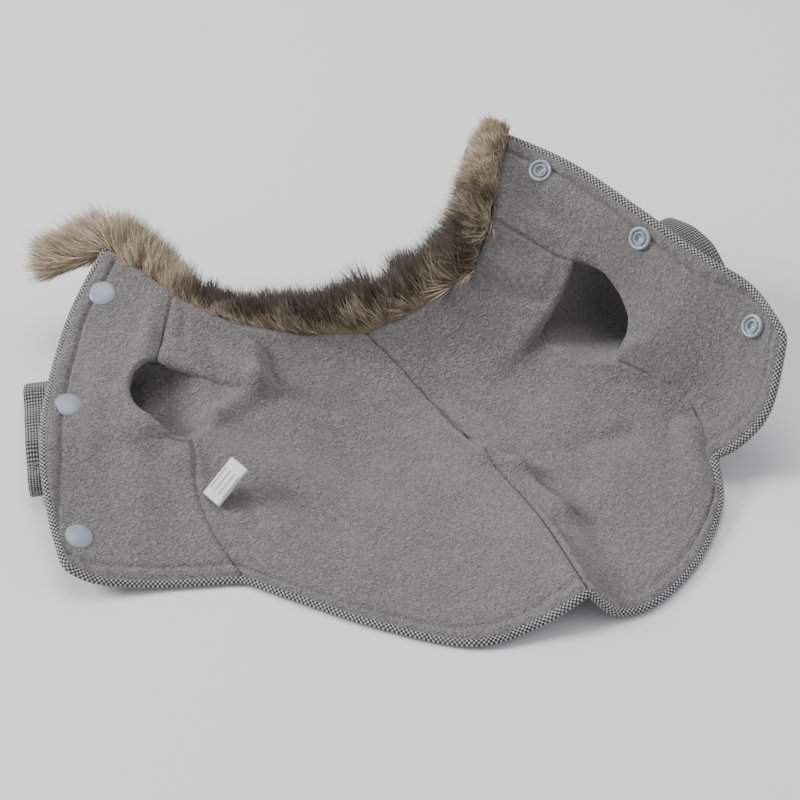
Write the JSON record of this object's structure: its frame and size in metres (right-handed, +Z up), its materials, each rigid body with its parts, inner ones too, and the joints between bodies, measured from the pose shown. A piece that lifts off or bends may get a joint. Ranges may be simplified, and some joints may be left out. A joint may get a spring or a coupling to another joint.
{
  "type": "small dog winter coat",
  "caption": "Small dog's winter coat laid open lining up: fleece lining, two folding fronts with snaps, sleeves, tweed piping and cuffs, fur collar.",
  "frame": {"origin": "middle of the laid-open coat's outline, on the surface that it lies on", "axes": "+X to the right and +Y towards the neck as it lies open with the lining up, +Z up"},
  "size_m": [0.3428, 0.313, 0.0925],
  "materials": {
    "fleece": "anti-pill fleece, pebbled, matt",
    "outer_cloth": "woven tweed, matt",
    "tweed": "black and white bird's-eye tweed",
    "filler_cord": "twisted cotton cord",
    "fur": "faux fur, cream and tan with dark brown tips",
    "satin": "satin",
    "stiffening": "non-woven",
    "snap_left": "satin gloss, pale blue-grey",
    "snap_right": "pearly",
    "label": "woven satin ribbon"
  },
  "bodies": {
    "back": {"shell_back_left": "outer_cloth", "shell_back_right": "outer_cloth", "lining_back_left": "fleece", "lining_back_right": "fleece", "hem_piping_back": "tweed", "piping_cord_back": "filler_cord", "sleeve_shell_left": "outer_cloth", "sleeve_shell_right": "outer_cloth", "sleeve_lining_left": "fleece", "sleeve_lining_right": "fleece", "cuff_left": "tweed", "cuff_right": "tweed", "collar_fur_back": "fur", "collar_facing_back": "satin"},
    "front_left": {"shell_front_left": "outer_cloth", "lining_front_left": "fleece", "placket_stiffening_left": "stiffening", "piping_left": "tweed", "piping_cord_left": "filler_cord", "collar_fur_left": "fur", "collar_facing_left": "satin", "snap_cap_left_1": "snap_left", "snap_cap_left_2": "snap_left", "snap_cap_left_3": "snap_left", "snap_stud_left_1": "snap_left", "snap_stud_left_2": "snap_left", "snap_stud_left_3": "snap_left"},
    "front_right": {"shell_front_right": "outer_cloth", "lining_front_right": "fleece", "placket_stiffening_right": "stiffening", "piping_right": "tweed", "piping_cord_right": "filler_cord", "collar_fur_right": "fur", "collar_facing_right": "satin", "snap_cap_right_1": "snap_right", "snap_cap_right_2": "snap_right", "snap_cap_right_3": "snap_right", "snap_socket_right_1": "snap_right", "snap_socket_right_2": "snap_right", "snap_socket_right_3": "snap_right"},
    "label": {"woven_label": "label"}
  },
  "joints": [
    {"name": "left_front_fold", "type": "hinge", "parent": "back", "child": "front_left", "pos_m": [-0.103, -0.055, 0.0055], "axis": [0.2494, 0.9321, 0.2626], "range_deg": [0, 120]},
    {"name": "right_front_fold", "type": "hinge", "parent": "back", "child": "front_right", "pos_m": [0.109, -0.1, 0.016], "axis": [0.2263, -0.9053, -0.3595], "range_deg": [0, 80]},
    {"name": "label_flap", "type": "hinge", "parent": "back", "child": "label", "pos_m": [-0.1002, -0.018, 0.016], "axis": [0.0838, 0.9642, 0.2515], "range_deg": [-5, 15]}
  ]
}
